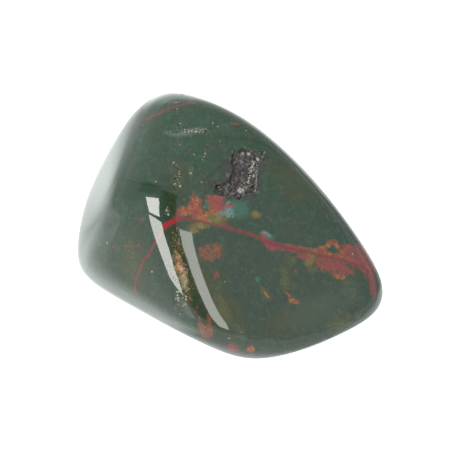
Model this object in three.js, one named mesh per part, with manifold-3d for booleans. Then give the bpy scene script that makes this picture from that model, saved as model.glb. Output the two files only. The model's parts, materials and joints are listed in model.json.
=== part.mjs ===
// A tumbled bloodstone: one pebble of dark green chalcedony, worn round in a tumbler and polished.
// It lies on its flattest side. Millimetres, +Z up; the origin is on the surface that it lies on,
// under the middle of its bounding box, and +X runs along its length.
//
// A tumbled pebble is a broken lump whose flat breaks were worn until they bulge and run into each
// other with no edges. So the body is given by its worn faces, and one softness rounds them all.
// What the polish didn't reach is cut into it: a pocket of small crystals, a slit, and the pits
// along the seam that runs round the pebble.

import * as THREE from "three";
import { mergeVertices } from "three/addons/utils/BufferGeometryUtils.js";
import Module from "manifold-3d";

const wasm = await Module();
wasm.setup();

// The body
const SOFTNESS = 1.2; // how far the wear runs in from an edge between two faces
const RESTING_DEPTH = 8.6; // from the body's middle down to the flat that it lies on
const BODY_DETAIL = 16; // splits of an icosahedron's edges
const BLOCK = 80; // larger than the pebble any way

// The worn faces. bearing is the compass angle of the outward normal, counterclockwise from +X;
// lean is its angle above the horizon; reach is how far the face's plane is from the body's middle.
const FACES = [
  { name: "broad face", bearing: -42, lean: 61, reach: 9.3 },
  { name: "left face", bearing: 222, lean: 33, reach: 14.6 },
  { name: "top face", bearing: 160, lean: 78, reach: 13.3 },
  { name: "left side", bearing: 163, lean: 23, reach: 14.55 },
  { name: "lower left side", bearing: 239, lean: -25, reach: 12.5 },
  { name: "lower right side", bearing: -64, lean: -34, reach: 14.7 },
  { name: "bottom front", bearing: -91, lean: -8, reach: 16.2 },
  { name: "right tip", bearing: -13.5, lean: -8, reach: 20.2 },
  { name: "right side", bearing: 30, lean: 13, reach: 12.0 },
  { name: "upper right side", bearing: 48, lean: 17, reach: 10.9 },
  { name: "far side", bearing: 70, lean: 26, reach: 13.5 },
  { name: "far left corner", bearing: 118, lean: 26, reach: 18.6 },
  { name: "left tip", bearing: 187, lean: -6, reach: 18.5 },
  { name: "resting side", bearing: 0, lean: -90, reach: 8.8 },
  { name: "far underside", bearing: 90, lean: -45, reach: 13.0 },
  { name: "right underside", bearing: 10, lean: -50, reach: 13.5 },
  { name: "left underside", bearing: 198, lean: -45, reach: 16.8 },
];

// Places on the front are given as someone looking down on it sees them: millimetres to the right
// and up from the pebble's middle, on a plane square to this line of sight.
const SIGHT_LEAN = 60;
const SIGHT_DISTANCE = 284;

// The crystal pocket: its rim, how deep it is in the middle, and the crystals on its floor.
const POCKET_MIDDLE = [1.6, 5.1];
const POCKET_RIM = [
  [0.35, 7.5], [1.6, 7.95], [2.6, 7.7], [4.0, 7.45], [3.9, 6.75], [3.25, 6], [3.15, 5],
  [3.0, 2.9], [2.1, 2.8], [1.3, 2.05], [0.4, 2.2], [-0.5, 2.45], [-1.65, 2.9], [-1.4, 3.8],
  [-0.65, 3.9], [0.15, 4.5], [0.45, 5.3], [0.3, 6.2],
];
const POCKET_DEPTH = 0.6;
const CRYSTAL = { spacing: 0.6, radius: [0.26, 0.42], height: [0.3, 0.55], foot: 0.1, tilt: 24, sides: 6 };

// The slit: a chain of pits on a shallow arc, thin at the left end and blunt at the right.
const SLIT = { left: [-7.3, 9.4], crown: [-4.9, 9.85], right: [-2.55, 9.65], pits: 13, radius: [0.13, 0.36] };

// The seam's pits on the front: stretches of it, with how many pits each has and how large.
const SEAM_STRETCHES = [
  { from: [-6.0, 6.1], to: [-5.7, 3.3], spread: 0.45, pits: 11, radius: [0.12, 0.27] },
  { from: [-6.9, 1.3], to: [-6.85, 0.3], spread: 0.2, pits: 5, radius: [0.1, 0.2] },
  { from: [-6.0, -1.1], to: [-5.5, -4.8], spread: 0.4, pits: 12, radius: [0.12, 0.25] },
  { from: [-5.3, -4.6], to: [-4.7, -9.1], spread: 0.4, pits: 14, radius: [0.12, 0.3] },
];
// On the back it runs on at this place along X, over these angles up from the horizon.
const SEAM_BACK = { x: -5.4, spread: 0.5, lowest: -40, highest: 75, pits: 14, radius: [0.14, 0.34] };

const PIT_SINK = 0.25; // how far under the surface a pit's middle is, as a share of its radius
const SEED = 7;

// A direction from its bearing and lean.
function direction(bearing, lean) {
  const turn = THREE.MathUtils.degToRad(bearing);
  const tilt = THREE.MathUtils.degToRad(lean);
  return new THREE.Vector3(
    Math.cos(tilt) * Math.cos(turn),
    Math.cos(tilt) * Math.sin(turn),
    Math.sin(tilt),
  );
}

const NORMALS = FACES.map((face) => direction(face.bearing, face.lean));

// How hard each face pulls the surface in at a point: exp(height above its plane / SOFTNESS). The
// worn surface is where the pulls add up to 1.
function pulls(point) {
  return FACES.map((face, i) => Math.exp((point.dot(NORMALS[i]) - face.reach) / SOFTNESS));
}

// Where a straight line from a point inside comes out of the worn surface.
function wayOut(start, way) {
  const point = new THREE.Vector3();
  let inside = 0;
  let outside = BLOCK / 2;
  while (outside - inside > 1e-5) {
    const distance = (inside + outside) / 2;
    point.copy(start).addScaledVector(way, distance);
    const pull = pulls(point).reduce((sum, one) => sum + one);
    if (pull > 1) outside = distance;
    else inside = distance;
  }
  return point.copy(start).addScaledVector(way, inside);
}

// The outward normal of the worn surface at a point on it.
function outward(point) {
  const normal = new THREE.Vector3();
  pulls(point).forEach((pull, i) => normal.addScaledVector(NORMALS[i], pull));
  return normal.normalize();
}

// A closed geometry as a solid, and a solid as a geometry.
function solidFrom(geometry) {
  geometry.deleteAttribute("normal");
  geometry.deleteAttribute("uv");
  const merged = mergeVertices(geometry, 1e-4);
  return new wasm.Manifold(
    new wasm.Mesh({
      numProp: 3,
      vertProperties: new Float32Array(merged.attributes.position.array),
      triVerts: new Uint32Array(merged.index.array),
    }),
  );
}

function geometryFrom(solid) {
  const mesh = solid.getMesh();
  const geometry = new THREE.BufferGeometry();
  geometry.setAttribute("position", new THREE.BufferAttribute(mesh.vertProperties, 3));
  geometry.setIndex(new THREE.BufferAttribute(mesh.triVerts, 1));
  return geometry;
}

// The largest piece of a solid: loose chips fall away, and a gap sealed in the stone is filled.
function largestPiece(solid) {
  return solid.decompose().reduce((best, piece) => (piece.volume() > best.volume() ? piece : best));
}

// The worn body, cut off at the flat that it lies on.
function wornBody() {
  const geometry = new THREE.IcosahedronGeometry(1, BODY_DETAIL);
  const places = geometry.attributes.position;
  const centre = new THREE.Vector3();
  const way = new THREE.Vector3();
  for (let i = 0; i < places.count; i++) {
    way.fromBufferAttribute(places, i).normalize();
    const place = wayOut(centre, way);
    places.setXYZ(i, place.x, place.y, place.z);
  }
  const ground = new THREE.BoxGeometry(BLOCK, BLOCK, BLOCK);
  ground.translate(0, 0, -RESTING_DEPTH - BLOCK / 2);
  return solidFrom(geometry).subtract(solidFrom(ground));
}

const body = wornBody();
const { min, max } = body.boundingBox();
const middle = new THREE.Vector3(...min).add(new THREE.Vector3(...max)).multiplyScalar(0.5);

// A place on the front, from millimetres to the right and up in the line of sight.
const towardsViewer = direction(-90, SIGHT_LEAN);
const rise = direction(90, 90 - SIGHT_LEAN);
const viewer = middle.clone().addScaledVector(towardsViewer, SIGHT_DISTANCE);

function frontPlace([across, up]) {
  const start = middle.clone().addScaledVector(rise, up);
  start.x += across;
  return wayOut(start, viewer.clone().sub(start).normalize());
}

// Chance that comes out the same each time: a number between two others, and any turn.
THREE.MathUtils.seededRandom(SEED);

function between([low, high]) {
  return low + (high - low) * THREE.MathUtils.seededRandom();
}

function anyTurn() {
  const euler = new THREE.Euler(between([0, 360]), between([0, 360]), between([0, 360]));
  return new THREE.Quaternion().setFromEuler(euler);
}

// One small pit with flat walls, as a grain leaves when it breaks out.
function pitAt(place, radius) {
  const grain = new THREE.OctahedronGeometry(radius);
  grain.applyQuaternion(anyTurn());
  const seat = place.clone().addScaledVector(outward(place), -PIT_SINK * radius);
  grain.translate(seat.x, seat.y, seat.z);
  return solidFrom(grain);
}

function slit() {
  const left = new THREE.Vector2(...SLIT.left);
  const crown = new THREE.Vector2(...SLIT.crown);
  const right = new THREE.Vector2(...SLIT.right);
  const arc = new THREE.QuadraticBezierCurve(left, crown, right);
  const [thin, blunt] = SLIT.radius;
  const pits = [];
  for (let i = 0; i < SLIT.pits; i++) {
    const along = i / (SLIT.pits - 1);
    const place = frontPlace(arc.getPoint(along).toArray());
    pits.push(pitAt(place, thin + (blunt - thin) * Math.sqrt(along)));
  }
  return pits;
}

function frontSeam() {
  return SEAM_STRETCHES.flatMap(({ from, to, spread, pits, radius }) =>
    Array.from({ length: pits }, (_, i) => {
      const along = (i + between([0, 1])) / pits;
      const across = THREE.MathUtils.lerp(from[0], to[0], along) + between([-spread, spread]);
      const up = THREE.MathUtils.lerp(from[1], to[1], along);
      return pitAt(frontPlace([across, up]), between(radius));
    }),
  );
}

function backSeam() {
  const { x, spread, lowest, highest, pits, radius } = SEAM_BACK;
  return Array.from({ length: pits }, (_, i) => {
    const start = new THREE.Vector3(x + between([-spread, spread]), 0, 0);
    const lean = THREE.MathUtils.lerp(lowest, highest, (i + between([0, 1])) / pits);
    return pitAt(wayOut(start, direction(90, lean)), between(radius));
  });
}

// The pocket is a flat-bottomed hole with upright sides, less the crystals that stand on its floor.
function pocket() {
  const mouth = frontPlace(POCKET_MIDDLE);
  const normal = outward(mouth);
  const sideways = new THREE.Vector3(1, 0, 0).cross(normal).cross(normal).negate().normalize();
  const upwards = normal.clone().cross(sideways);
  const floor = mouth.clone().addScaledVector(normal, -POCKET_DEPTH);
  const onFloor = new THREE.Matrix4().makeBasis(sideways, upwards, normal).setPosition(floor);

  const rim = POCKET_RIM.map((spot) => {
    const offset = frontPlace(spot).sub(mouth);
    return new THREE.Vector2(offset.dot(sideways), offset.dot(upwards));
  });
  const outline = new THREE.Shape(rim);
  const hole = new THREE.ExtrudeGeometry(outline, { depth: 2 * POCKET_DEPTH, bevelEnabled: false });
  const reach = new THREE.Box2().setFromPoints(rim);

  const crystals = [];
  for (let v = reach.min.y; v < reach.max.y; v += CRYSTAL.spacing) {
    for (let u = reach.min.x; u < reach.max.x; u += CRYSTAL.spacing) {
      crystals.push(crystalAt(u, v).applyMatrix4(onFloor));
    }
  }
  return solidFrom(hole.applyMatrix4(onFloor)).subtract(wasm.Manifold.union(crystals.map(solidFrom)));
}

// One crystal: a pointed prism's end, leaning its own way, its foot in the floor.
function crystalAt(u, v) {
  const height = between(CRYSTAL.height) + CRYSTAL.foot;
  const crystal = new THREE.ConeGeometry(between(CRYSTAL.radius), height, CRYSTAL.sides);
  crystal.rotateX(Math.PI / 2);
  crystal.rotateZ(between([0, Math.PI]));
  crystal.translate(0, 0, height / 2 - CRYSTAL.foot);
  const lean = THREE.MathUtils.degToRad(CRYSTAL.tilt);
  crystal.rotateX(between([-lean, lean]));
  crystal.rotateY(between([-lean, lean]));
  const jitter = CRYSTAL.spacing / 3;
  crystal.translate(u + between([-jitter, jitter]), v + between([-jitter, jitter]), 0);
  return crystal;
}

const hollows = wasm.Manifold.union([pocket(), ...slit(), ...frontSeam(), ...backSeam()]);
const stone = geometryFrom(largestPiece(body.subtract(hollows)));
stone.translate(-middle.x, -middle.y, RESTING_DEPTH);
stone.computeVertexNormals();

const material = new THREE.MeshStandardMaterial({ color: 0x38443a, roughness: 0.08, metalness: 0 });
const bloodstone = new THREE.Mesh(stone, material);
bloodstone.name = "bloodstone";

const group = new THREE.Group();
group.add(bloodstone);

export default group;
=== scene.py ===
"""A tumbled bloodstone: one polished pebble of dark green chalcedony with a red vein, on a pale floor."""

import json
import math
import random

import bpy
import numpy as np
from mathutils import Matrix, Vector, noise
from mathutils.bvhtree import BVHTree

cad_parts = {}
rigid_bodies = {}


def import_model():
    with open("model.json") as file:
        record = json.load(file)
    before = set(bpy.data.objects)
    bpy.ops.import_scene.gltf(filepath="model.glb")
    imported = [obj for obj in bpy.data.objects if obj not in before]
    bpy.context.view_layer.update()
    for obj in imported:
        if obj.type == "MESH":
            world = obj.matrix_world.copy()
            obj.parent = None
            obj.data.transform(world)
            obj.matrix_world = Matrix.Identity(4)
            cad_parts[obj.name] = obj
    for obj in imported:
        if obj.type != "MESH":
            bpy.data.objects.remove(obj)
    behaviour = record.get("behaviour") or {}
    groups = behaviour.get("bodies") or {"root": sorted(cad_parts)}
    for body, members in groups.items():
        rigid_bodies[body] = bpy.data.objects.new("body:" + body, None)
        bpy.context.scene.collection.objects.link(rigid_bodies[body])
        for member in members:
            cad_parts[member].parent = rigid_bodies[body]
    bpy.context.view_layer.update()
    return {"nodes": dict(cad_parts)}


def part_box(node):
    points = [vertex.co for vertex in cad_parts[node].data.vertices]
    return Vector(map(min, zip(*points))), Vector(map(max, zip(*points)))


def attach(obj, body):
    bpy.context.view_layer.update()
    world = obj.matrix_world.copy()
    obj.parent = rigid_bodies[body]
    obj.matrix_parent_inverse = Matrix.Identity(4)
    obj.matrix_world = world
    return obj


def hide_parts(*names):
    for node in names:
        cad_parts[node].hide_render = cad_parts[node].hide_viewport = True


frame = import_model()

# Camera
# The pebble is looked down on from the front with a long lens. The lens is far enough away that
# the plane through the pebble's middle, square to the line of sight, shows 9 pixels to the mm.
MM = 0.001
SIGHT_LEAN = math.radians(60)
SIGHT_DISTANCE = 284 * MM
LENS = 200
FRAME_SHIFT = (0.154 * MM, -1.268 * MM)
NEAREST_SEEN = 10 * MM

low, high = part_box("bloodstone")
middle = (low + high) / 2
across = Vector((1, 0, 0))
rise = Vector((0, math.sin(SIGHT_LEAN), math.cos(SIGHT_LEAN)))
towards_viewer = Vector((0, -math.cos(SIGHT_LEAN), math.sin(SIGHT_LEAN)))
viewer = middle + SIGHT_DISTANCE * towards_viewer

bpy.ops.object.select_all(action="DESELECT")
aim = viewer + FRAME_SHIFT[0] * across + FRAME_SHIFT[1] * rise
bpy.ops.object.camera_add(location=aim, rotation=(math.pi / 2 - SIGHT_LEAN, 0, 0))
camera = bpy.context.object
camera.data.lens = LENS
camera.data.clip_start = NEAREST_SEEN
bpy.context.scene.camera = camera

# Pebble: its skin
# One piece of chalcedony, worn round in a tumbler. The skin is drawn over the outermost points of the
# faceted solid, with its pits bridged, and then bulged between them until it is as smooth as the wear.
WELD = 0.0001 * MM
FACET_POINT_GAP = 0.7 * MM  # the solid's own points are farther apart; nearer ones are pit rims
SKIN_DOUBLINGS = 2
SKIN_SMOOTHINGS = 4


def pick(piece):
    bpy.ops.object.select_all(action="DESELECT")
    piece.select_set(True)
    bpy.context.view_layer.objects.active = piece


def read_rows(items, name):
    """A property of a mesh's points, three numbers each, as an array."""
    rows = np.empty(len(items) * 3, dtype=np.float32)
    items.foreach_get(name, rows)
    return rows.reshape(-1, 3).astype(float)


def write_places(mesh, places):
    mesh.vertices.foreach_set("co", places.astype(np.float32).ravel())
    mesh.update()


def search_tree(mesh):
    return BVHTree.FromPolygons([v.co for v in mesh.vertices], [p.vertices for p in mesh.polygons])


node = frame["nodes"]["bloodstone"]
stone = bpy.data.objects.new("tumbled_stone", node.data.copy())
bpy.context.scene.collection.objects.link(stone)
stone.data.materials.clear()
pick(stone)
bpy.context.tool_settings.mesh_select_mode = (False, False, True)
bpy.ops.object.mode_set(mode="EDIT")
bpy.ops.mesh.select_all(action="SELECT")
bpy.ops.mesh.remove_doubles(threshold=WELD)
bpy.ops.mesh.convex_hull()
bpy.ops.object.mode_set(mode="OBJECT")
unpitted_tree = search_tree(stone.data)
bpy.ops.object.mode_set(mode="EDIT")
bpy.ops.mesh.select_all(action="SELECT")
bpy.ops.mesh.remove_doubles(threshold=FACET_POINT_GAP)
bpy.ops.mesh.select_all(action="SELECT")
bpy.ops.mesh.select_mode(type="VERT")
bpy.ops.mesh.delete(type="EDGE_FACE")
bpy.ops.mesh.select_all(action="SELECT")
bpy.ops.mesh.convex_hull()
bpy.ops.mesh.select_mode(type="FACE")
bpy.ops.mesh.select_all(action="SELECT")
for _ in range(SKIN_DOUBLINGS):
    bpy.ops.mesh.subdivide(number_cuts=1, smoothness=1.0)
bpy.ops.mesh.vertices_smooth(factor=0.5, repeat=SKIN_SMOOTHINGS)
bpy.ops.mesh.normals_make_consistent(inside=False)
bpy.ops.mesh.select_all(action="DESELECT")
bpy.ops.object.mode_set(mode="OBJECT")
bpy.ops.object.shade_smooth()

# The bulging also rounds the flat that the pebble lies on, so that is pressed flat again.
skin = read_rows(stone.data.vertices, "co")
skin[:, 2] = np.maximum(skin[:, 2], low.z)
write_places(stone.data, skin)

# Pebble: its pits and crystals
# The pocket, the slit and the pits of the seam broke open, and no grit reached into them to polish them.
# There the skin is cut finer and let down onto the faceted solid, and roughened into broken crystals.
PIT_RIM = 0.02 * MM  # less depth than this isn't a pit
FINE_DOUBLINGS = 3
LOOK_ABOVE = 0.3 * MM
GRAIN = 0.36 * MM
GRAIN_SLOPE = 0.24
GRAIN_TILT = 2
GRAIN_LIFT = 0.4
TILT_DRAW = 9.1  # takes each crystal's tilt from elsewhere in the noise than its place

solid_tree = search_tree(node.data)
solid_points = np.unique(np.round(read_rows(node.data.vertices, "co"), 8), axis=0)
pit_points = [Vector(p) for p in solid_points if unpitted_tree.find_nearest(Vector(p))[3] > PIT_RIM]

for _ in range(FINE_DOUBLINGS):
    skin_tree = search_tree(stone.data)
    pitted = np.zeros(len(stone.data.polygons), dtype=bool)
    pitted[[skin_tree.find_nearest(p)[2] for p in pit_points]] = True
    stone.data.polygons.foreach_set("select", pitted)
    bpy.ops.object.mode_set(mode="EDIT")
    bpy.ops.mesh.select_more()
    bpy.ops.mesh.subdivide(number_cuts=1, smoothness=1.0)
    bpy.ops.mesh.select_all(action="SELECT")
    bpy.ops.mesh.quads_convert_to_tris()
    bpy.ops.mesh.select_all(action="DESELECT")
    bpy.ops.object.mode_set(mode="OBJECT")
bpy.ops.object.shade_smooth()

skin = read_rows(stone.data.vertices, "co")
outward = read_rows(stone.data.vertices, "normal")


def way_down(tree, place, way):
    """How far below a place just over the skin the tree's surface is."""
    hit = tree.ray_cast(Vector(place + LOOK_ABOVE * way), Vector(-way))
    return hit[3] if hit[0] else 0.0


def crystal_rise(place):
    """How far the crystals stand out of a pit's wall: blunt points that each lean their own way."""
    at = Vector(place) / GRAIN
    best = -1.0
    for centre in noise.voronoi(at)[1]:
        lean = noise.cell_vector(centre * TILT_DRAW) - Vector((0.5, 0.5, 0.5))
        away = at - centre
        best = max(best, GRAIN_TILT * lean.dot(away) - away.length)
    return GRAIN * GRAIN_SLOPE * (best + GRAIN_LIFT)


depth = np.array(
    [way_down(solid_tree, p, n) - way_down(unpitted_tree, p, n) for p, n in zip(skin, outward)]
)
depth[depth < PIT_RIM] = 0
let_down = depth.copy()
for i in np.flatnonzero(depth):
    let_down[i] = max(depth[i] - crystal_rise(skin[i]), PIT_RIM)
write_places(stone.data, skin - let_down[:, None] * outward)

# Pebble: where its markings run
# Iron oxide got into the stone along cracks as thin red sheets, and as ochre, olive and teal clouds. Places
# are millimetres to the right and up as the photo shows them; behind, the sheets twist so as not to repeat.
TWIST_BEHIND = math.radians(70)
SHIFT_BEHIND = (3.0, 2.0)
CURVE_STEPS = 6

# Each vein: its points along, with half its width.
VEINS = {
    "main_vein": [
        (-7.2, -0.95, 0.3), (-6.5, -0.55, 0.32), (-5.65, -0.05, 0.28), (-4.9, -0.08, 0.14),
        (-4.3, -0.12, 0.09), (-3.2, -0.32, 0.08), (-1.5, -0.75, 0.08), (-0.5, -0.95, 0.11),
        (0.15, -1.1, 0.17), (0.8, -1.3, 0.13), (2.4, -1.75, 0.1), (3.4, -2.15, 0.16), (3.8, -2.4, 0.22),
        (4.8, -2.85, 0.24), (5.9, -3.15, 0.18), (7.9, -3.6, 0.17), (10.15, -4.1, 0.13),
        (12.4, -4.6, 0.12), (14.0, -5.05, 0.13), (15.2, -5.6, 0.13), (15.9, -6.4, 0.15),
        (16.2, -7.4, 0.15), (16.2, -8.8, 0.1),
    ],
    "left_vein": [
        (-7.2, -0.85, 0.16), (-7.65, -1.95, 0.15), (-8.2, -2.85, 0.14), (-8.8, -3.95, 0.15),
        (-9.4, -4.65, 0.14), (-9.9, -5.75, 0.11), (-10.3, -6.85, 0.1), (-10.4, -7.95, 0.09),
        (-10.0, -8.85, 0.06),
    ],
    "far_vein": [
        (-11.0, 9.95, 0.06), (-9.6, 10.85, 0.1), (-8.2, 11.45, 0.14), (-7.1, 12.0, 0.15),
        (-6.0, 12.4, 0.12), (-4.8, 12.75, 0.1), (-3.2, 12.95, 0.06),
    ],
    "ochre_edge": [
        (6.0, -2.8, 0.05), (8.0, -3.2, 0.08), (9.8, -3.6, 0.18), (10.4, -3.4, 0.36), (10.9, -3.1, 0.22),
        (11.5, -2.7, 0.36), (11.9, -2.85, 0.3), (12.3, -3.25, 0.2), (12.7, -3.75, 0.3), (13.1, -3.3, 0.2),
        (13.5, -3.0, 0.2), (13.9, -3.4, 0.15),
    ],
    "ochre_lower": [
        (9.9, -3.75, 0.12), (10.7, -3.9, 0.2), (11.6, -4.05, 0.22), (12.5, -4.25, 0.22),
        (13.5, -4.5, 0.15), (14.4, -4.8, 0.08),
    ],
    "seam_shade": [
        (-6.2, 3.6, 0.4), (-6.35, 2.6, 0.95), (-6.5, 1.2, 0.95), (-6.4, 0.2, 0.8), (-6.1, -0.9, 0.6),
        (-5.9, -1.6, 0.7), (-5.55, -3.2, 0.85), (-5.1, -4.8, 0.85), (-4.8, -6.4, 0.8), (-4.4, -8.0, 0.65),
        (-3.75, -9.2, 0.45), (-2.95, -10.4, 0.3), (-2.4, -11.6, 0.1),
    ],
    "seam": [
        (-5.65, -0.9, 0.2), (-5.85, -1.6, 0.45), (-5.65, -3.2, 0.6), (-5.35, -4.8, 0.75),
        (-5.0, -6.4, 0.8), (-4.7, -8.0, 0.75), (-4.6, -9.0, 0.6), (-4.5, -9.8, 0.2),
    ],
    "seam_top": [(-5.65, 6.2, 0.1), (-5.65, 5.4, 0.45), (-5.6, 4.0, 0.5), (-5.75, 3.3, 0.2)],
    "seam_haze": [
        (-6.0, -3.5, 0.05), (-5.9, -4.3, 0.4), (-5.65, -5.2, 0.45), (-5.1, -6.4, 0.4), (-4.75, -7.8, 0.2),
    ],
    "seam_end": [
        (-6.7, -5.0, 0.15), (-6.2, -6.6, 0.3), (-5.7, -8.0, 0.4), (-5.4, -9.0, 0.6), (-5.7, -10.4, 0.3),
        (-5.8, -12.2, 0.15),
    ],
    "left_grains": [
        (-11.3, -1.9, 0.2), (-10.8, -3.2, 0.6), (-10.5, -4.6, 0.75), (-10.4, -6.0, 0.4),
        (-10.6, -6.9, 0.1),
    ],
    "right_grains": [(13.0, -6.9, 0.2), (13.6, -7.8, 0.8), (14.0, -9.2, 0.5), (13.9, -9.9, 0.1)],
    # The left line is a dark line of painted shade, along the edge of a reflection.
    "left_painted_shade_line": [(-12.1, 4.5, 0.08), (-10.2, 3.95, 0.12), (-8.0, 3.6, 0.1), (-6.4, 3.4, 0.05)],
    "upper_fissure": [(-3.6, 3.7, 0.05), (-1.8, 4.9, 0.12), (-0.2, 6.4, 0.08)],
    "top_fissure": [(-1.5, 8.95, 0.08), (1.5, 8.85, 0.14), (4.2, 8.1, 0.12), (5.8, 6.9, 0.05)],
    # The pocket's and the slit's shine bands: there glints are painted on the crystals, and along the slit a
    # sheen on the skin.
    "pocket_shine": [
        (3.5, 6.9, 0.15), (3.1, 6.3, 0.25), (2.75, 5.4, 0.35), (2.55, 4.4, 0.35), (2.2, 3.7, 0.3),
        (1.5, 3.2, 0.35),
    ],
    "slit_shine": [
        (-7.1, 9.6, 0.06), (-6.2, 9.3, 0.12), (-5.0, 9.45, 0.25), (-3.6, 9.75, 0.25), (-2.7, 9.75, 0.12),
    ],
}

# Each cloud: its middle, its half length and half width, and how far its length is turned from level.
CLOUDS = {
    "ochre": [
        (-4.95, 0.73, 0.8, 0.5, 10), (-3.65, 1.0, 0.8, 1.2, 0), (-2.75, 0.3, 0.5, 0.5, 0),
        (-1.7, 2.15, 1.05, 0.42, 5), (-1.5, 1.0, 0.6, 0.6, 0), (2.5, -14.6, 0.45, 0.5, 0),
        (6.6, -8.4, 0.2, 0.7, 20), (7.4, -9.3, 0.5, 0.22, -10), (4.2, -8.5, 0.1, 0.55, 40),
        (12.4, -6.5, 0.75, 0.25, 0),
    ],
    "speckled": [
        (-2.4, -3.9, 0.95, 0.8, 0), (-1.5, -3.7, 0.75, 0.75, 0), (-2.95, -12.3, 0.3, 1.2, 15),
        (-2.2, -12.6, 0.45, 1.1, -8), (-2.25, -11.2, 0.22, 0.7, 0),
    ],
    "red": [
        (-1.15, 1.55, 0.9, 0.85, 20), (0.0, 1.4, 0.8, 0.28, 0), (4.0, -2.0, 0.5, 0.35, -20),
        (8.3, -4.3, 0.8, 0.3, 0), (-3.6, 0.7, 0.35, 0.5, 0), (-5.5, 0.45, 0.3, 0.35, 0),
        (5.0, -3.1, 1.0, 0.45, -10), (7.0, -3.4, 1.4, 0.35, -10), (11.6, -5.2, 2.0, 0.8, -12),
        (12.8, -5.75, 1.2, 0.4, -12), (14.0, -4.3, 1.7, 0.9, -35), (15.4, -4.9, 1.4, 1.1, -40),
        (14.9, -3.9, 1.0, 1.2, -50), (15.9, -6.9, 0.35, 1.7, 5), (0.5, -14.4, 0.62, 0.55, -20),
        (-1.3, -6.15, 0.27, 0.37, 0), (-1.6, -6.9, 0.12, 0.3, 0), (7.4, -5.8, 0.25, 0.22, 0),
        (0.8, 10.5, 0.5, 0.13, 0),
    ],
    "olive": [
        (-1.6, 0.0, 1.6, 0.7, -5), (-3.2, -0.85, 1.1, 0.36, 0), (-4.0, -1.4, 0.5, 0.35, 0),
        (3.0, 0.4, 0.6, 0.35, 0), (9.1, -4.4, 0.6, 0.9, 0),
    ],
    "faint_olive": [
        (6.8, -4.6, 0.6, 0.7, 0), (6.4, -7.0, 0.6, 1.7, 12), (12.5, -11.5, 1.3, 0.8, 20),
        (12.4, -6.4, 1.0, 0.4, 0), (4.2, -8.4, 0.4, 0.9, 40), (9.2, -5.4, 0.5, 0.8, 0),
        (-4.2, 5.0, 0.22, 1.0, 0), (-0.6, -9.9, 0.5, 1.9, 25),
    ],
    "grey": [(9.8, -10.2, 3.6, 1.8, 20), (13.4, -8.2, 1.2, 1.4, 0)],
    # Painted shade: the shade clouds darken the green on the left front, standing in for a dark reflection
    # there.
    "shade": [(-10.9, 3.0, 1.7, 1.2, -10), (-8.6, 3.3, 1.6, 0.6, -5), (-7.0, 4.4, 0.9, 0.5, 0)],
    "tint": [
        (-2.0, -7.4, 1.6, 3.0, 25), (-0.1, -11.0, 1.7, 2.6, 30), (-10.5, -5.5, 1.6, 3.6, 0),
        (-5.6, 5.0, 0.8, 1.5, 0), (7.0, 4.0, 3.0, 1.5, -40), (6.5, -11.5, 3.0, 1.2, 20),
    ],
    "teal": [
        (1.05, 1.05, 1.15, 1.05, 0), (-0.1, 0.9, 0.45, 0.8, 0), (4.2, -1.9, 0.8, 0.35, -25),
        (3.25, -6.8, 0.25, 0.3, 0), (-2.4, 1.5, 0.35, 0.5, 0),
    ],
    "milky": [
        (-1.0, 0.6, 0.6, 0.28, -5), (-0.05, 1.0, 0.5, 0.45, 30), (0.3, 0.3, 0.5, 0.25, 0),
        (4.2, -1.75, 0.6, 0.22, -30), (2.8, 2.85, 0.6, 0.15, 10), (-0.05, 1.7, 0.25, 0.25, 0),
    ],
    "pocket": [
        (2.3, 6.7, 2.2, 0.9, -5), (1.35, 4.9, 2.0, 2.2, 0), (0.2, 3.2, 2.3, 1.0, -15),
        (2.6, 3.6, 0.8, 1.2, 0),
    ],
}
CLOUD_DEPTH = 1.5  # how much further a cloud reaches into the stone than along its skin
FAR_OUTSIDE = -3.0

# Behind, clouds are strewn at random: how many of each, and roughly their mean half length.
STREWN_CLOUDS = {
    "ochre": (14, 0.9), "speckled": (12, 1.2), "red": (16, 0.8), "olive": (12, 0.9),
    "faint_olive": (20, 1.4), "grey": (5, 2.2), "shade": (8, 1.6), "tint": (10, 2.6),
    "teal": (9, 0.9), "milky": (5, 0.6), "pocket": (0, 1),
}
STREWN_LENGTHS = (0.25, 2.6, 0.5)  # parts of that mean: the least, the most and the commonest
STREWN_WIDTHS = (0.2, 0.75)  # parts of the length
STREWN_SEED = 4
HIDDEN_FACING = -0.05  # skin that faces away by more than this is out of sight

# Small spots: place and radius.
RED_SPOTS = [
    (-9.6, -0.15, 0.13), (-12.85, -3.15, 0.12), (-11.3, -3.0, 0.13), (-14.8, -4.6, 0.12),
    (-10.0, -3.0, 0.16), (-8.5, -8.3, 0.13), (-2.3, 8.2, 0.12), (-2.6, 7.6, 0.14), (-4.2, 7.6, 0.12),
    (1.3, -3.15, 0.18), (1.8, -2.8, 0.2), (3.7, -1.8, 0.18), (4.3, -1.6, 0.2), (-3.2, 4.5, 0.1),
    (-3.9, 2.6, 0.14), (-5.0, 2.1, 0.14), (0.35, -14.25, 0.4), (0.75, -14.7, 0.3), (-5.5, 0.3, 0.3),
    (-5.1, 0.75, 0.22), (-4.95, 0.25, 0.2), (-12.3, 2.2, 0.1), (8.9, 2.5, 0.1), (10.9, 0.3, 0.12),
    (-1.5, -9.3, 0.12), (-4.3, -9.1, 0.16), (-3.4, -9.7, 0.14), (-3.7, -10.4, 0.12),
]
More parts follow.
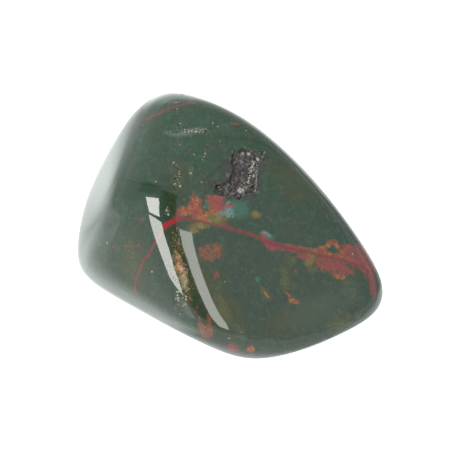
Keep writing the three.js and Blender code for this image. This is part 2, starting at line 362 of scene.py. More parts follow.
WHITE_SPOTS = [
    (-9.5, 10.4, 0.07), (-10.85, 7.5, 0.08), (-8.1, 4.5, 0.12), (-8.1, 4.05, 0.11), (-6.1, 6.2, 0.08),
    (-3.85, 7.1, 0.09), (-2.6, 7.2, 0.08), (-2.85, 6.5, 0.09), (-4.2, 5.0, 0.11), (-5.4, 8.2, 0.06),
    (-4.2, 9.1, 0.05), (-1.75, 10.6, 0.08), (-1.2, 10.2, 0.06), (1.95, 9.75, 0.07), (-13.5, -2.7, 0.09),
    (-8.5, -5.95, 0.09), (-0.4, -7.05, 0.06), (13.8, -3.95, 0.09), (-5.85, 12.9, 0.07),
    (0.05, -13.3, 0.09), (-5.95, 3.75, 0.15), (-5.4, 3.55, 0.15), (-5.0, -9.0, 0.13), (-4.7, -8.7, 0.15),
    (-5.75, -8.2, 0.08), (-5.6, -9.2, 0.1), (-6.9, 0.85, 0.14), (-6.7, 0.4, 0.15), (-3.0, 4.0, 0.08),
]
# Painted glints: bright flecks on the pocket's crystals.
POCKET_GLINTS = [
    (0.4, 7.4, 0.16), (1.75, 7.25, 0.18), (2.4, 7.2, 0.14), (3.4, 6.75, 0.2), (3.2, 6.3, 0.15),
    (2.8, 5.9, 0.2), (2.6, 5.2, 0.2), (2.45, 4.6, 0.18), (2.35, 4.1, 0.2), (1.45, 3.2, 0.28),
    (2.9, 3.1, 0.12), (-0.9, 3.5, 0.12),
]
STREWN_SPOTS = 45
STREWN_RADII = (0.07, 0.2)
SPOT_ROOM = 0.8  # the most room round a spot's centre; less where another spot is near
FAR_OFF = 9


def sight_places(points):
    """Where points are as the photo shows them: millimetres to the right, and up."""
    offset = (points - np.array(middle)) / MM
    nearer = offset @ np.array(towards_viewer)
    size = SIGHT_DISTANCE / MM / (SIGHT_DISTANCE / MM - nearer)
    return offset @ np.array(across) * size, offset @ np.array(rise) * size


def smooth_curve(points):
    """A curve through all the points, in short steps."""
    knots = np.array([points[0], *points, points[-1]], dtype=float)
    t = np.linspace(0, 1, CURVE_STEPS, endpoint=False)[:, None]
    spans = []
    for a, b, c, d in zip(knots, knots[1:], knots[2:], knots[3:]):
        spans.append(b + 0.5 * t * (c - a + t * (2 * a - 5 * b + 4 * c - d + t * (3 * (b - c) + d - a))))
    return np.vstack([*spans, knots[-1:]])


def add_attribute(name, kind, field, values):
    layer = stone.data.attributes.new(name, kind, "POINT")
    layer.data.foreach_set(field, np.asarray(values, dtype=np.float32).ravel())


def mark_vein(name, points):
    """Stores each point's distance to the left of the vein, half its width there, and how far along."""
    curve = smooth_curve(points)
    line, half = curve[:, :2], curve[:, 2]
    way = np.gradient(line, axis=0)
    way /= np.linalg.norm(way, axis=1)[:, None]
    along = np.concatenate([[0], np.cumsum(np.linalg.norm(np.diff(line, axis=0), axis=1))])
    spots = np.column_stack([twisted_right, twisted_up])
    nearest = np.argmin((spots[:, :1] - line[:, 0]) ** 2 + (spots[:, 1:] - line[:, 1]) ** 2, axis=1)
    offset = spots - line[nearest]
    aside = way[nearest, 0] * offset[:, 1] - way[nearest, 1] * offset[:, 0]
    travel = along[nearest] + np.sum(way[nearest] * offset, axis=1)
    width = np.interp(travel, along, half)
    # Past either end the width turns negative, so the vein tapers out there.
    past = np.maximum(np.maximum(-travel, travel - along[-1]), 0)
    add_attribute(name, "FLOAT_VECTOR", "vector", np.column_stack([aside, width - past, travel]))


def skin_spot(at_right, at_up):
    """The point of the skin that the photo shows at a place."""
    way = (middle + (at_right * across + at_up * rise) * MM - viewer).normalized()
    return np.array(unpitted_tree.ray_cast(viewer, way)[0])


def placed_clouds(clouds):
    """Each cloud's middle, the ways of its length and width, and its half length and half width."""
    for at_right, at_up, length, width, turned in clouds:
        c, s = math.cos(math.radians(turned)), math.sin(math.radians(turned))
        way = c * across + s * rise
        side = c * rise - s * across
        yield skin_spot(at_right, at_up), np.array(way), np.array(side), length, width


def strewn_clouds(number, size):
    for i in chance.sample(hidden, number):
        way = np.cross(outward[i], [chance.gauss(0, 1) for _ in range(3)])
        way /= np.linalg.norm(way)
        length = size * chance.triangular(*STREWN_LENGTHS)
        yield skin[i], way, np.cross(outward[i], way), length, length * chance.uniform(*STREWN_WIDTHS)


def mark_clouds(name):
    """Stores how deep each point is inside the nearest cloud: 1 in its middle, 0 at its edge."""
    inside = np.full(len(skin), FAR_OUTSIDE)
    clouds = [*placed_clouds(CLOUDS[name]), *strewn_clouds(*STREWN_CLOUDS[name])]
    for centre, way, side, length, width in clouds:
        offset = (skin - centre) / MM
        under = offset @ np.cross(way, side)
        reach = CLOUD_DEPTH + length
        far = (offset @ way / length) ** 2 + (offset @ side / width) ** 2 + (under / reach) ** 2
        inside = np.maximum(inside, 1 - np.sqrt(far))
    add_attribute(name, "FLOAT", "value", inside)


def mark_spots(name, spots, strewn):
    """Stores the offset from the nearest spot's centre and, apart, the spot's radius."""
    centres = [skin_spot(*spot[:2]) for spot in spots] + [skin[i] for i in chance.sample(hidden, strewn)]
    centres = np.array(centres)
    radii = np.array([spot[2] for spot in spots] + [chance.uniform(*STREWN_RADII) for _ in range(strewn)])
    gaps = np.linalg.norm(centres[:, None] - centres, axis=2) + FAR_OFF * MM * np.eye(len(centres))
    room = np.minimum(SPOT_ROOM, 0.45 * gaps.min(axis=1) / MM)
    # A point in no spot's room is said to be far above one, so no false spot shows between two rooms.
    offset = outward * FAR_OFF
    radius = np.zeros(len(skin))
    for centre, size, reach in zip(centres, radii, room):
        away = (skin - centre) / MM
        near = np.linalg.norm(away, axis=1) < reach
        offset[near] = away[near]
        radius[near] = min(size, reach / 2)
    add_attribute(name, "FLOAT_VECTOR", "vector", offset)
    add_attribute(name + "_radius", "FLOAT", "value", radius)


right, up = sight_places(skin)
to_viewer = np.array(viewer) - skin
facing = np.sum(outward * to_viewer, axis=1) / np.linalg.norm(to_viewer, axis=1)
behind = np.maximum(-facing, 0)
turn = TWIST_BEHIND * behind
twisted_right = np.cos(turn) * right - np.sin(turn) * up + SHIFT_BEHIND[0] * behind
twisted_up = np.sin(turn) * right + np.cos(turn) * up + SHIFT_BEHIND[1] * behind

chance = random.Random(STREWN_SEED)
hidden = [int(i) for i in np.flatnonzero(facing < HIDDEN_FACING)]
for name, points in VEINS.items():
    mark_vein(name, points)
for name in CLOUDS:
    mark_clouds(name)
mark_spots("red_spot", RED_SPOTS, STREWN_SPOTS)
mark_spots("white_spot", WHITE_SPOTS, STREWN_SPOTS)
mark_spots("pocket_glint", POCKET_GLINTS, 0)
add_attribute("pit", "FLOAT", "value", depth / MM)

# Pebble: its look
# Tumble-polished chalcedony, dark green from fine chlorite. The polish mirrors lamps and table with sharp
# edges, at about 5 percent head on and nearly all at the rim, and shows the colours under it dark and deep.
# Its pits were never polished, so they look dull, grey to purplish, with a pale crystal here and there.
CHALCEDONY_IOR = 1.54
POLISHED_ROUGHNESS = 0.04
BROKEN_ROUGHNESS = 0.6
PIT_EDGE = (0.02, 0.12)  # the depths in mm between which the polish gives way to broken crystal
SPOT_EDGE = 0.06

BODY_GREEN = "#25382D"
DEEP_GREEN = "#203A2A"
GREY_GREEN = "#2F433A"
BROWN_GREEN = "#333626"
FRONT_GREEN = "#2D3831"
FIBRE_GREEN = "#1D3024"
PALE_GREEN = "#394B41"
KHAKI = "#39372B"
DARK_FLECK = "#192C21"
PALE_FLECK = "#3F5249"
TINT = "#3A3A22"
GREY = "#3B463C"
SHADE = "#1C2E20"
TEAL = "#2F5449"
FAINT_OLIVE = "#4A4A2D"
OLIVE = "#5C512D"
LIGHT_OLIVE = "#6E5C36"
MILKY_BLUE = "#5A7270"
RUST = "#82492F"
LIGHT_RUST = "#8E5A38"
RUST_RED = "#78302E"
RUST_SPECK = "#3E3426"
OXIDE_RED = "#6F3538"
BRICK_RED = "#783632"
DULL_RED = "#57363A"
SPECKLED_GROUND = "#6A4635"
ORANGE_SPECK = "#7A4632"
RED_SPECK = "#6A352C"
BROWN_DOT = "#5E332B"
PALE_DOT = "#6F7367"
SEAM_DARK = "#2A2E16"
SEAM_BROWN = "#403A22"
HAZE_TAN = "#A2795A"
HAZE_GOLD = "#877B5C"
GRAIN_DARK = "#35351F"
SEAM_GRAINS = [
    ("#504A30", 0.3, 0.5),
    ("#6A5038", 0.65, 0.7),
    ("#7A6C50", 0.8, 0.85),
    ("#A9A595", 0.95, 0.97),
]
SEAM_SHADE = "#242C16"
STRAY_OLIVE = "#5E5238"
STRAY_BROWN = "#664634"
END_OLIVE = "#4A4430"
END_CREAM = "#8A8672"
SPOT_RED = "#782A30"
VEIN_DARK_RED = "#5A272C"
VEIN_RED = "#6E2C32"
VEIN_HEAD_RED = "#87202C"
VEIN_HALO = "#6A3A34"
LEFT_VEIN_RED = "#6A2A30"
FAR_VEIN_RED = "#6A3034"
FISSURE_AND_PAINTED_SHADE_GREEN = "#18261C"
SPOT_WHITE = "#8F8C80"
CRYSTAL_PLUM = "#262023"
CRYSTAL_GREY = "#3F383A"
CRYSTAL_BROWN = "#392B29"
CRYSTAL_TEAL = "#4A5652"
SLIT_PAINTED_SHEEN = "#7C877C"
SLIT_GREY = "#5F685C"
PALE_CRYSTAL_AND_GLINT_WHITE = "#A9A49A"
CRYSTAL_GLINT = "#949C9A"


def linear(hex_colour):
    """An sRGB hex colour as linear red, green, blue and alpha."""
    parts = [int(hex_colour[i : i + 2], 16) / 255 for i in (1, 3, 5)]
    return [p / 12.92 if p <= 0.04045 else ((p + 0.055) / 1.055) ** 2.4 for p in parts] + [1.0]


def add_node(tree, kind, inputs=(), **settings):
    """Adds a node, sets its properties, and fills its inputs with numbers, colours or other sockets."""
    new = tree.nodes.new(kind)
    for name, value in settings.items():
        setattr(new, name, value)
    for name, value in dict(inputs).items():
        if isinstance(value, bpy.types.NodeSocket):
            tree.links.new(value, new.inputs[name])
        else:
            new.inputs[name].default_value = value
    return new


def combine(tree, operation, *parts):
    """Works one number out of parts, by one operation after another.

    A part is a number, a socket, or a group (value, start, end, from, to). A group's value is carried
    smoothly from one amount, where it is at the start, to another at the end, and held beyond them.
    With no amounts it goes from 0 to 1. A group may hold groups.
    """
    total = None
    for part in parts:
        if isinstance(part, tuple):
            names = ("Value", "From Min", "From Max", "To Min", "To Max")
            values = [combine(tree, operation, value) for value in (*part, 0.0, 1.0)[:5]]
            carried = dict(zip(names, values))
            part = add_node(tree, "ShaderNodeMapRange", carried, interpolation_type="SMOOTHSTEP").outputs[0]
        if total is not None:
            part = add_node(tree, "ShaderNodeMath", {0: total, 1: part}, operation=operation).outputs[0]
        total = part
    return total


polish = bpy.data.materials.new("polished_chalcedony")
polish.use_nodes = True
stone_tree = polish.node_tree
shader = stone_tree.nodes["Principled BSDF"]
shader.inputs["IOR"].default_value = CHALCEDONY_IOR
in_metres = add_node(stone_tree, "ShaderNodeTexCoord").outputs["Object"]
to_mm = {0: in_metres, 1: (1 / MM,) * 3}
here = add_node(stone_tree, "ShaderNodeVectorMath", to_mm, operation="MULTIPLY").outputs[0]


def stain(below, over, *cover):
    """Lays a colour over the one below, as thick as the product of the cover's parts."""
    below, over = (linear(colour) if isinstance(colour, str) else colour for colour in (below, over))
    inputs = {0: combine(stone_tree, "MULTIPLY", *cover), 6: below, 7: over}
    return add_node(stone_tree, "ShaderNodeMix", inputs, data_type="RGBA").outputs[2]


def cloudiness(size, detail=4.0, roughness=0.6, shift=(0, 0, 0), stretch=(1, 1, 1)):
    """Noise with lumps of a size in mm, taken from its own part of space and pulled out along the axes."""
    moved = add_node(stone_tree, "ShaderNodeMapping", {"Vector": here, "Location": shift, "Scale": stretch})
    inputs = {"Vector": moved.outputs[0], "Scale": 1 / size, "Detail": detail, "Roughness": roughness}
    return add_node(stone_tree, "ShaderNodeTexNoise", inputs).outputs[0]


# Chlorite flakes and grains are some hundredths of a mm, too fine to show: the flecks are drawn as 0.3 mm.
broad = cloudiness(4.0, 5)
middling = cloudiness(0.9, 5, 0.65, shift=(3, 1, 5))
lumps = cloudiness(0.55, 4, 0.65, shift=(1, 8, 1))
fine = cloudiness(0.28, 3, shift=(0, 9, 2))
sway = cloudiness(1.4, 2)
swelling = cloudiness(0.7, 3, shift=(7, 0, 0))
uneven = cloudiness(0.25, 2)


def frayed(name, fraying, edge, pattern):
    """A cloud's cover: its stored inside value, frayed at the edge by a pattern."""
    inside = add_node(stone_tree, "ShaderNodeAttribute", attribute_name=name).outputs["Fac"]
    inputs = {0: pattern, 1: fraying, 2: inside}
    shaken = add_node(stone_tree, "ShaderNodeMath", inputs, operation="MULTIPLY_ADD").outputs[0]
    return combine(stone_tree, "MULTIPLY", (shaken, 0.5 * fraying - edge, 0.5 * fraying + edge))


def along(name):
    """How far along a vein each place is."""
    stored = add_node(stone_tree, "ShaderNodeAttribute", attribute_name=name).outputs["Vector"]
    return add_node(stone_tree, "ShaderNodeSeparateXYZ", {0: stored}).outputs[2]


def vein(name, wander, edge, least, halo=0.0):
    """A vein's cover: it wanders a little to each side, and swells and thins. A halo widens it."""
    stored = add_node(stone_tree, "ShaderNodeAttribute", attribute_name=name).outputs["Vector"]
    aside, core, _ = add_node(stone_tree, "ShaderNodeSeparateXYZ", {0: stored}).outputs
    inputs = {0: sway, 1: wander, 2: -0.5 * wander}
    swing = add_node(stone_tree, "ShaderNodeMath", inputs, operation="MULTIPLY_ADD").outputs[0]
    off = combine(stone_tree, "ADD", aside, swing)
    off = add_node(stone_tree, "ShaderNodeMath", {0: off}, operation="ABSOLUTE").outputs[0]
    half = combine(stone_tree, "ADD", core, halo)
    half = combine(stone_tree, "MULTIPLY", half, (swelling, 0.3, 0.7, least, 1.3))
    inside = combine(stone_tree, "SUBTRACT", half, off)
    return combine(stone_tree, "MULTIPLY", (inside, -edge, edge))


def grains(size, share, seed, core, rim):
    """The cover of single grains, for the share of them that is there, and a number for each grain."""
    moved = add_node(stone_tree, "ShaderNodeMapping", {"Vector": here, "Location": (seed, 0, 0)})
    cell = add_node(stone_tree, "ShaderNodeTexVoronoi", {"Vector": moved.outputs[0], "Scale": 1 / size})
    drawn, which, _ = add_node(stone_tree, "ShaderNodeSeparateXYZ", {0: cell.outputs["Color"]}).outputs
    there = combine(stone_tree, "LESS_THAN", drawn, share)
    return combine(stone_tree, "MULTIPLY", (cell.outputs["Distance"], core, rim, 1, 0), there), which


def spots(name):
    """The cover of a kind of small spot, with uneven edges."""
    stored = add_node(stone_tree, "ShaderNodeAttribute", attribute_name=name).outputs["Vector"]
    away = add_node(stone_tree, "ShaderNodeVectorMath", {0: stored}, operation="LENGTH").outputs["Value"]
    radius = add_node(stone_tree, "ShaderNodeAttribute", attribute_name=name + "_radius").outputs["Fac"]
    size = combine(stone_tree, "MULTIPLY", radius, (uneven, 0.3, 0.7, 0.6, 1.4))
    inside = combine(stone_tree, "SUBTRACT", size, away)
    return combine(stone_tree, "MULTIPLY", (inside, -SPOT_EDGE, SPOT_EDGE))


# The green is browner or greyer by patches, and greyer towards the front.
front = add_node(stone_tree, "ShaderNodeSeparateXYZ", {0: here}).outputs[1]
fibres = cloudiness(0.8, stretch=(2.6, 0.5, 0.5))
flecked = (cloudiness(1.8, shift=(0, 0, 40)), 0.4, 0.65, 0.15, 0.75)
green = stain(BODY_GREEN, DEEP_GREEN, (broad, 0.42, 0.6))
green = stain(green, GREY_GREEN, (cloudiness(2.2, 5, shift=(20, 0, 0)), 0.5, 0.7, 0, 0.8))
green = stain(green, BROWN_GREEN, (cloudiness(3.0, 5, shift=(0, 30, 0)), 0.52, 0.7, 0, 0.7))
green = stain(green, FRONT_GREEN, (front, 3, -9, 0, 0.85))
green = stain(green, FIBRE_GREEN, (fibres, 0.5, 0.72, 0, 0.5))
green = stain(green, PALE_GREEN, (middling, 0.5, 0.7, 0, 0.5))
green = stain(green, KHAKI, (cloudiness(0.7, shift=(9, 9, 0)), 0.52, 0.7, 0, 0.5))
green = stain(green, DARK_FLECK, (fine, 0.47, 0.68, 0, 0.7), flecked)
green = stain(green, PALE_FLECK, (cloudiness(0.3, 3, shift=(4, 4, 0)), 0.5, 0.68, 0, 0.6), flecked)

# Clouds in the green, and painted shade: colour, fraying, softness of the edge, and how thick they lie.
olive = stain(OLIVE, LIGHT_OLIVE, (lumps, 0.45, 0.65))
colour = green
for name, over, fraying, edge, thickness in [
    ("tint", TINT, 1.4, 0.6, 0.4),
    ("grey", GREY, 1.4, 0.7, 0.6),
    # Painted shade on the left front; behind, the same kind is strewn at random as darker patches.
    ("shade", SHADE, 1.4, 0.6, 0.55),
    ("teal", TEAL, 1.2, 0.5, (fine, 0.35, 0.6, 0.55, 0.95)),
    ("faint_olive", FAINT_OLIVE, 3.0, 0.6, (fine, 0.35, 0.6, 0.2, 0.7)),
    ("olive", olive, 1.6, 0.5, (fine, 0.3, 0.6, 0.5, 0.9)),
]:
    colour = stain(colour, over, frayed(name, fraying, edge, middling), thickness)
colour = stain(colour, MILKY_BLUE, frayed("milky", 1.8, 0.6, lumps), (fine, 0.3, 0.6, 0.45, 0.9))

# Iron oxide: ochre round the veins, red within it.
patchy = (fine, 0.3, 0.6, 0.45, 1)
rusty = stain(RUST, LIGHT_RUST, (lumps, 0.42, 0.62))
rusty = stain(rusty, RUST_RED, (cloudiness(0.6, shift=(2, 2, 2)), 0.5, 0.58, 0, 0.95))
rusty = stain(rusty, RUST_SPECK, (cloudiness(0.26, 3, shift=(8, 2, 7)), 0.53, 0.62, 0, 0.7))
colour = stain(colour, rusty, frayed("ochre", 1.8, 0.3, middling), patchy)
ochre_edges = [vein("ochre_edge", 0.35, 0.16, 0.4), vein("ochre_lower", 0.3, 0.16, 0.4)]
colour = stain(colour, rusty, combine(stone_tree, "MAXIMUM", *ochre_edges), patchy)
ruddy = stain(OXIDE_RED, BRICK_RED, (lumps, 0.45, 0.62))
ruddy = stain(ruddy, DULL_RED, (cloudiness(0.4, shift=(6, 2, 2)), 0.5, 0.65, 0, 0.7))
colour = stain(colour, ruddy, frayed("red", 2.0, 0.4, lumps), (fine, 0.35, 0.6, 0.55, 0.95))

# Specks of oxide, thick in the speckled clouds and sparse elsewhere, with a few pale dots.
speckled = frayed("speckled", 2.2, 0.5, lumps)
colour = stain(colour, SPECKLED_GROUND, speckled, (fine, 0.35, 0.6, 0.25, 0.7))
specks, which = grains(0.22, combine(stone_tree, "MULTIPLY", speckled, 0.8), 17, 0.35, 0.75)
colour = stain(colour, stain(ORANGE_SPECK, RED_SPECK, (which, 0.4, 0.6)), specks, (which, 0, 1, 0.5, 0.95))
dots, which = grains(0.85, 0.35, 11, 0.08, 0.2)
colour = stain(colour, BROWN_DOT, dots, (which, 0, 1, 0.1, 0.7))
pale_dots, _ = grains(1.0, 0.12, 23, 0.03, 0.1)
colour = stain(colour, PALE_DOT, pale_dots, 0.7)

# The seam's grains lie thick in a dark band: brown, gold and orange, with a few white ones.
seam_look = stain(SEAM_DARK, SEAM_BROWN, (cloudiness(0.7, shift=(5, 1, 9)), 0.48, 0.62))
haze_colour = stain(HAZE_TAN, HAZE_GOLD, (along("seam_haze"), 2.2, 3.6))
seam_look = stain(seam_look, haze_colour, vein("seam_haze", 0.4, 0.3, 0.8), 0.95)
seam_grains, which = grains(0.2, 0.5, 31, 0.35, 0.7)
grain_colour = GRAIN_DARK
for over, start, end in SEAM_GRAINS:
    grain_colour = stain(grain_colour, over, (which, start, end))
seam_look = stain(seam_look, grain_colour, seam_grains, 0.85)
seam_cover = combine(stone_tree, "MULTIPLY", vein("seam", 0.9, 0.5, 0.5), 0.7)
top_cover = combine(stone_tree, "MULTIPLY", vein("seam_top", 0.8, 0.5, 0.4), 0.5)
colour = stain(colour, SEAM_SHADE, vein("seam_shade", 1.4, 0.75, 0.6), (lumps, 0.36, 0.58, 0.3, 0.85))
colour = stain(colour, seam_look, combine(stone_tree, "MAXIMUM", seam_cover, top_cover))

# Stray grains lie to both sides of the seam, and creamy ones close to its left and down past its end.
strays, which = grains(0.24, 0.4, 53, 0.3, 0.65)
stray_bands = [vein("left_grains", 0.8, 0.5, 0.5), vein("right_grains", 0.8, 0.5, 0.5)]
stray_colour = stain(STRAY_OLIVE, STRAY_BROWN, (which, 0.5, 0.7))
colour = stain(colour, stray_colour, strays, combine(stone_tree, "MAXIMUM", *stray_bands), 0.42)
seam_end = combine(stone_tree, "MULTIPLY", strays, vein("seam_end", 0.5, 0.4, 0.4))
colour = stain(colour, stain(END_OLIVE, END_CREAM, (which, 0.5, 0.6)), seam_end, 0.75)
colour = stain(colour, SPOT_RED, spots("red_spot"), 0.58)

# Two hairline fissure lines, a dark line of painted shade on the left along the edge of a reflection, and
# the red veins over them: the main one is brightest near its left end.
fissure_and_painted_shade_lines = [
    vein("left_painted_shade_line", 0.3, 0.12, 0.5),
    vein("upper_fissure", 0.4, 0.14, 0.3),
    vein("top_fissure", 0.3, 0.2, 0.3),
]
colour = stain(colour, FISSURE_AND_PAINTED_SHADE_GREEN, combine(stone_tree, "MAXIMUM", *fissure_and_painted_shade_lines), 0.55)
vein_red = stain(VEIN_DARK_RED, VEIN_RED, (fine, 0.4, 0.65))
vein_red = stain(vein_red, VEIN_HEAD_RED, (along("main_vein"), 2.2, 0.6, 0, 0.9))
for name, over, wander, edge, least, halo, thickness in [
    ("main_vein", VEIN_HALO, 0.12, 0.25, 0.4, 0.1, 0.4),
    ("main_vein", vein_red, 0.12, 0.11, 0.6, 0.0, 0.88),
    ("left_vein", LEFT_VEIN_RED, 0.25, 0.1, 0.4, 0.0, 0.8),
    ("far_vein", FAR_VEIN_RED, 0.2, 0.18, 0.3, 0.0, 0.7),
]:
    colour = stain(colour, over, vein(name, wander, edge, least, halo), thickness)
colour = stain(colour, SPOT_WHITE, spots("white_spot"), 0.75)

# The pocket's crystals are grey with a purple cast; they show through the skin round its rim too.
pocket_look = stain(CRYSTAL_PLUM, CRYSTAL_GREY, (cloudiness(0.5, 4, 0.65), 0.47, 0.62, 0, 0.9))
pocket_look = stain(pocket_look, CRYSTAL_BROWN, (cloudiness(0.9, 3, shift=(0, 0, 5)), 0.5, 0.65, 0, 0.6))
pocket_look = stain(pocket_look, CRYSTAL_TEAL, (cloudiness(0.6, 3, shift=(0, 6, 5)), 0.55, 0.68, 0, 0.8))
pocket_cover = frayed("pocket", 1.8, 0.35, lumps)
slit_band = vein("slit_shine", 0.1, 0.3, 0.8)
colour = stain(colour, pocket_look, pocket_cover, 0.85)
# Along the slit a pale sheen is painted on the skin: a painted highlight.
colour = stain(colour, SLIT_PAINTED_SHEEN, slit_band, 0.25)

# Inside the pits the walls are bare quartz crystals, 0.2 to 0.5 mm across, and here and there one is pale.
# Along the shine bands of the pocket and the slit many more grains are painted pale, and bright flecks are
# painted in the pocket: painted glints of the crystals.
seam_walls = [vein("seam", 0.8, 0.4, 0.5, 0.4), top_cover]
crystal = stain(green, seam_look, combine(stone_tree, "MAXIMUM", *seam_walls))
crystal = stain(crystal, pocket_look, pocket_cover)
crystal = stain(crystal, SLIT_GREY, slit_band, 0.7)
pale_and_glinting_grains, _ = grains(0.26, 0.7, 41, 0.25, 0.6)
shine = [vein("pocket_shine", 0.5, 0.3, 0.5), vein("slit_shine", 0.2, 0.2, 0.5), 0.12]
crystal = stain(crystal, PALE_CRYSTAL_AND_GLINT_WHITE, pale_and_glinting_grains, combine(stone_tree, "MAXIMUM", *shine))
crystal = stain(crystal, CRYSTAL_GLINT, spots("pocket_glint"), 0.65)
pit_depth = add_node(stone_tree, "ShaderNodeAttribute", attribute_name="pit").outputs["Fac"]
pit = combine(stone_tree, "MULTIPLY", (pit_depth, *PIT_EDGE))
colour = stain(colour, crystal, pit, 0.95)

broken = combine(stone_tree, "MAXIMUM", pit, combine(stone_tree, "MULTIPLY", seam_end, 0.8))
roughness = combine(stone_tree, "MULTIPLY", (broken, 0, 1, POLISHED_ROUGHNESS, BROKEN_ROUGHNESS))
stone_tree.links.new(colour, shader.inputs["Base Color"])
stone_tree.links.new(roughness, shader.inputs["Roughness"])
stone.data.materials.append(polish)
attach(stone, "root")
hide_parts("bloodstone")

# Floor and light
# A white photo table in a pale tent. The camera looks in between two tall lamps through a dark gap, and the
# pebble's ridge mirrors the lamps as two narrow curved strips. Its rims mirror the table, which is bright on
# the left and dull behind and on the right; a hidden copy of the table, seen only in reflections, has that
# light and the pebble's painted shadow in its glow. The camera sees the table bleached to plain white, as it
# was.
FLOOR_SIZE = 3.0
FLOOR_SHADE = "#E8E8E8"
FLOOR_GLOW = 0.6
MIRRORED_WHITE = "#F6FCF9"
MIRRORED_LIFT = 0.02 * MM
TENT_WHITE = "#F8FCFB"
TENT_LEFT = 0.9
TENT_RIGHT = 0.58
TENT_HEM = 0.8  # how much brighter the tent is just above the table, at the front right
HEM_TOP = 0.3
HEM_REACH = 1.3
LAMP_WHITE = "#FFFEF8"
PLAIN_WHITE = "#FFFFFF"
LAMP_DISTANCE = 0.95
FOLD_DISTANCE = 0.97
CARD_DISTANCE = 1.0
LEFT_LAMP_GLOW = 10.6
LEFT_TOP_GLOW = 13.0
RIGHT_LAMP_GLOW = 6.5
BACK_CARD_GLOW = 1.2
VALANCE_GLOW = 0.35
FOLD_SPAN = (-0.6, -0.38)  # the lit fold's left and right end, in metres along X
FOLD_GLOW = (1.4, 2.1)  # how strongly it shines at each


def bare_material(name):
    """A material with no shader yet, and its node tree."""
    material = bpy.data.materials.new(name)
    material.use_nodes = True
    material.node_tree.nodes.clear()
    return material, material.node_tree


def glowing(name, strength, colour=PLAIN_WHITE):
    """A material that only shines, the same all over."""
    material, tree = bare_material(name)
    glow = add_node(tree, "ShaderNodeEmission", {"Color": linear(colour), "Strength": strength})
    add_node(tree, "ShaderNodeOutputMaterial", {"Surface": glow.outputs[0]})
    return material


def lit_table():
    """White laminate that scatters the tent's light, and is itself lit from below."""
    material, tree = bare_material("lit_table")
    scatter = add_node(tree, "ShaderNodeBsdfDiffuse", {"Color": linear(FLOOR_SHADE)})
    glow = add_node(tree, "ShaderNodeEmission", {"Strength": FLOOR_GLOW})
    both = add_node(tree, "ShaderNodeAddShader", {0: scatter.outputs[0], 1: glow.outputs[0]})
    add_node(tree, "ShaderNodeOutputMaterial", {"Surface": both.outputs[0]})
    return material


def mirrored_table():
    """The same table as the polish mirrors it, its light painted into a glow: lamplight on its left, up to a
    line behind the pebble, and a painted shadow close to the pebble.
    """
    material, tree = bare_material("mirrored_table")
    place = add_node(tree, "ShaderNodeTexCoord").outputs["Object"]
    inputs = {0: place, 1: (1 / MM,) * 3}
    in_mm = add_node(tree, "ShaderNodeVectorMath", inputs, operation="MULTIPLY").outputs[0]
    x, y, _ = add_node(tree, "ShaderNodeSeparateXYZ", {0: in_mm}).outputs
    far = add_node(tree, "ShaderNodeVectorMath", {0: in_mm}, operation="LENGTH").outputs["Value"]

    # How far each place lies towards the back left, back right, right, left and back, in that order.
    ways = []
    for way in [(-0.75, 0.66, 0), (1, 0.62, 0), (1, -0.3, 0), (-1, -0.5, 0), (0.16, 1, 0)]:
        reach = add_node(tree, "ShaderNodeVectorMath", {0: in_mm, 1: way}, operation="DOT_PRODUCT")
        ways.append(reach.outputs["Value"])
    back_left, back_right, rightwards, leftwards, backwards = ways
    # Two round pools of painted light lie on the table: how far each place is from their centres.
    pools = []
    for centre in [(24, 36, 0), (38, -8, 0)]:
        away = add_node(tree, "ShaderNodeVectorMath", {0: in_mm, 1: centre}, operation="DISTANCE")
        pools.append(away.outputs["Value"])
    back_pool, side_pool = pools

    # Behind the pebble: bright close to it and dull beyond, with an aisle of light straight back.
    bearing = combine(tree, "DIVIDE", back_right, far)
    aisle = [(bearing, -0.1, 0.25, 0.27, 1), (x, -2, 6, 1.85, 0.95), (y, 22, 30, 0.6, 1)]
    rear = [(back_left, 22.8, 28.5, 1.5, 0.5), (back_left, 34, 110, 0.5, 0.85)]
    rear = combine(tree, "MAXIMUM", *rear, combine(tree, "MULTIPLY", *aisle))
    rear = combine(tree, "MULTIPLY", rear, (rightwards, 10, 32, 1, 0.32))
    rear = combine(tree, "MAXIMUM", rear, (far, 90, 200, 0, 0.85), (back_pool, 11, 20, 1.6, 0))
    # In front and to the right: dull, and in front duller still close to the pebble as a painted shadow, but
    # for the pool at the side.
    dull = combine(tree, "MULTIPLY", (y, -10, 10, (far, 18, 32, 0.62, 1.05), rear))
    pool_light = combine(tree, "MULTIPLY", (side_pool, 6, 36, 2.1, 0), (y, -3, 3, 1, 0))
    dull = combine(tree, "MAXIMUM", dull, pool_light)
    # To the left: lamplight, brightest a little way off, weaker close to the pebble as a painted shadow, and
    # weaker far away and at both ends.
    lit = combine(
        tree,
        "MULTIPLY",
        (y, -15, -8, (far, 15, 27, 1.65, 2.9), (leftwards, 16, 30, 1.15, 2.95)),
        (y, 0, 20, 1, 0.4),
        (y, -9, 9, (far, 25, 60, 1, 0.65), (far, 35, 90, 1, 0.62)),
        (y, -26, -12, 0.68, 1),
    )
    lit = combine(tree, "MAXIMUM", lit, (y, 3, 15, 1.05, 1.5))
    border = combine(tree, "ADD", backwards, (x, -26, -20, 0, 3))
    side = (x, (y, -8, 0, -12, -15), (y, -8, 0, -5.5, -6), 1, 0)
    lamplit = combine(tree, "MULTIPLY", (border, 8, 16, 1, 0), side)
    light = add_node(tree, "ShaderNodeMix", {0: lamplit, 2: dull, 3: lit}).outputs[0]
    glow = add_node(tree, "ShaderNodeEmission", {"Color": linear(MIRRORED_WHITE), "Strength": light})
    add_node(tree, "ShaderNodeOutputMaterial", {"Surface": glow.outputs[0]})
    return material


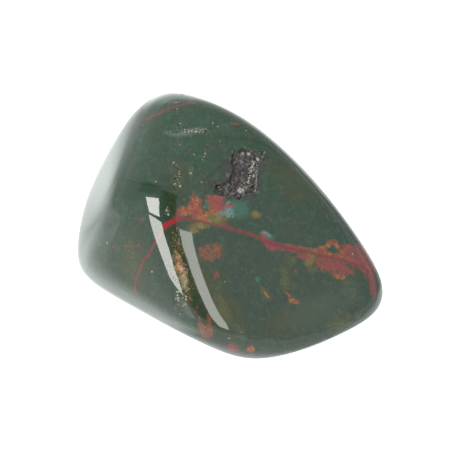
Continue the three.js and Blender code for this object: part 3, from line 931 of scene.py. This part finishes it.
def lit_fold():
    """White cloth that shines where the lamp above it falls on it, and less further to its left."""
    material, tree = bare_material("lit_fold")
    place = add_node(tree, "ShaderNodeTexCoord").outputs["Object"]
    x = add_node(tree, "ShaderNodeSeparateXYZ", {0: place}).outputs[0]
    light = combine(tree, "MULTIPLY", (x, *FOLD_SPAN, *FOLD_GLOW))
    glow = add_node(tree, "ShaderNodeEmission", {"Color": linear(LAMP_WHITE), "Strength": light})
    add_node(tree, "ShaderNodeOutputMaterial", {"Surface": glow.outputs[0]})
    return material


def table(name, height, material):
    bpy.ops.mesh.primitive_plane_add(size=FLOOR_SIZE, location=(0, 0, height))
    piece = bpy.context.object
    piece.name = name
    piece.data.materials.append(material)
    return piece


table("floor", low.z, lit_table()).visible_glossy = False
mirrored = table("mirrored_floor", low.z + MIRRORED_LIFT, mirrored_table())
mirrored.visible_camera = False
mirrored.visible_diffuse = False
mirrored.visible_transmission = False
mirrored.visible_shadow = False

# The tent is brighter on the left, and its hem shines towards the front right.
world = bpy.data.worlds.new("tent")
world.use_nodes = True
sky = world.node_tree
direction = add_node(sky, "ShaderNodeTexCoord").outputs["Generated"]
parts = add_node(sky, "ShaderNodeSeparateXYZ", {0: direction}).outputs
inputs = {"Value": parts["X"], "From Min": -1, "From Max": 1, "To Min": TENT_LEFT, "To Max": TENT_RIGHT}
walls = add_node(sky, "ShaderNodeMapRange", inputs).outputs["Result"]
inputs = {0: direction, 1: (1, -1, 0)}
front_right = add_node(sky, "ShaderNodeVectorMath", inputs, operation="DOT_PRODUCT").outputs["Value"]
reach = {"From Min": -HEM_REACH, "From Max": HEM_REACH, "To Min": 0.0, "To Max": TENT_HEM}
hem_glow = add_node(sky, "ShaderNodeMapRange", {"Value": front_right, **reach}).outputs["Result"]
inputs = {"Value": parts["Z"], "From Min": 0, "From Max": HEM_TOP, "To Min": hem_glow, "To Max": 0}
hem = add_node(sky, "ShaderNodeMapRange", inputs).outputs["Result"]
both = add_node(sky, "ShaderNodeMath", {0: walls, 1: hem}, operation="ADD").outputs[0]
background = sky.nodes["Background"]
background.inputs["Color"].default_value = linear(TENT_WHITE)
sky.links.new(both, background.inputs["Strength"])
bpy.context.scene.world = world
bpy.context.scene.view_settings.view_transform = "Standard"


def sight_way(sideways, upwards):
    """A direction by its angles from the line of sight to the camera, in degrees."""
    turned = math.radians(sideways)
    tilted = math.radians(upwards)
    level = across * math.sin(turned) + towards_viewer * math.cos(turned)
    return level * math.cos(tilted) + rise * math.sin(tilted)


def card(name, corners, material, distance=CARD_DISTANCE):
    """A four-sided card, given by the angles of its corners, counterclockwise from the lower left."""
    bpy.ops.mesh.primitive_plane_add(size=1, location=(0, 0, 0))
    piece = bpy.context.object
    piece.name = name
    # The plane's own corners come row by row.
    for vertex, corner in zip(piece.data.vertices, (corners[0], corners[1], corners[3], corners[2])):
        vertex.co = middle + distance * sight_way(*corner)
    piece.data.materials.append(material)


# What the polish mirrors: the two lamps and the top of the left one as white strips, the dark gap between
# them, a dark and a lit fold of the tent's cloth, a white card behind the pebble, and a grey valance. The
# lit fold, the card and the valance are no lamps: their light is painted in as a glow.
left_light = glowing("left_lamp", LEFT_LAMP_GLOW, LAMP_WHITE)
top_light = glowing("left_lamp_top", LEFT_TOP_GLOW, LAMP_WHITE)
right_light = glowing("right_lamp", RIGHT_LAMP_GLOW, LAMP_WHITE)
card("left_lamp", [(-40, -12.5), (-20.5, -12), (-3, 18), (-38, 18)], left_light, LAMP_DISTANCE)
card("left_lamp_top", [(-35, 21), (-8, 24), (-16, 39), (-44, 37)], top_light, LAMP_DISTANCE)
card("right_lamp", [(18.8, -27), (28.5, -27), (32.5, 18.3), (20.5, 18.9)], right_light, LAMP_DISTANCE)
card("dark_gap", [(-11, -17), (22, -33), (14, 36), (-14, 46)], glowing("unlit", 0.0))
card("dark_fold", [(-34, 16), (-6, 20), (-6, 26), (-36, 23)], glowing("unlit_fold", 0.0))
card("lit_fold", [(-54, -44), (-22, -38), (-19, -15), (-48, -19)], lit_fold(), FOLD_DISTANCE)
card("back_card", [(-137, 51), (-180, 62), (-180, 73), (-124, 67)], glowing("back_card", BACK_CARD_GLOW))
card("grey_valance", [(-66, 37), (-14, 40), (-14, 47), (-60, 49)], glowing("valance", VALANCE_GLOW))
